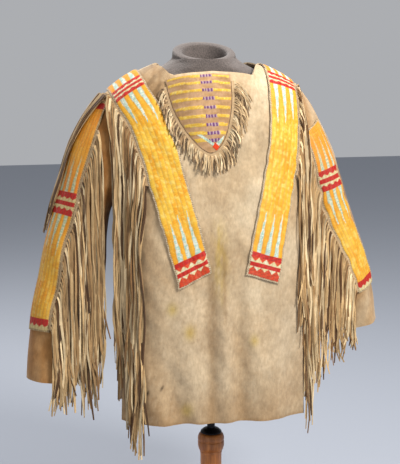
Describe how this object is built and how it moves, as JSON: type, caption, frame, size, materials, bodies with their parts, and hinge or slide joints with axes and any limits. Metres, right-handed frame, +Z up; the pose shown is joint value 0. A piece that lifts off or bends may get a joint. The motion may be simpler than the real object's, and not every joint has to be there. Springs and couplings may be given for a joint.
{
  "type": "war shirt on a limbless dress form",
  "caption": "Fringed hide war shirt with quilled strips over the shoulders and down the sleeves and a quilled bib, worn by a limbless dress form on a turned wooden post.",
  "frame": {"origin": "centre of the foot's underside, where the stand rests on a surface", "axes": "+Z up, -Y towards the shirt's front, -X towards the wearer's right"},
  "size_m": [0.771, 0.316, 1.0672],
  "materials": {
    "hide": "matte brain-tanned hide, mottled and stained",
    "fringe_hide": "matte cut hide strands, darker with handling",
    "quillwork": "satin dyed quills in sewn lanes",
    "bib_hide": "matte hide with quilled lines",
    "knit": "matte fine grey knit",
    "black_iron": "satin black",
    "stand_wood": "satin varnish"
  },
  "bodies": {
    "root": {"front_hide": "hide", "back_hide": "hide", "right_sleeve": "hide", "left_sleeve": "hide", "right_shoulder_strip": "quillwork", "left_shoulder_strip": "quillwork", "right_sleeve_strip": "quillwork", "left_sleeve_strip": "quillwork", "bib": "bib_hide", "right_sleeve_fringe": "fringe_hide", "left_sleeve_fringe": "fringe_hide", "right_shoulder_fringe": "fringe_hide", "left_shoulder_fringe": "fringe_hide", "bib_fringe": "fringe_hide", "right_arm_fringe": "fringe_hide", "dress_form": "knit", "stand_rod": "black_iron", "rod_cap": "black_iron", "stand_post": "stand_wood", "stand_foot": "stand_wood"}
  },
  "joints": []
}
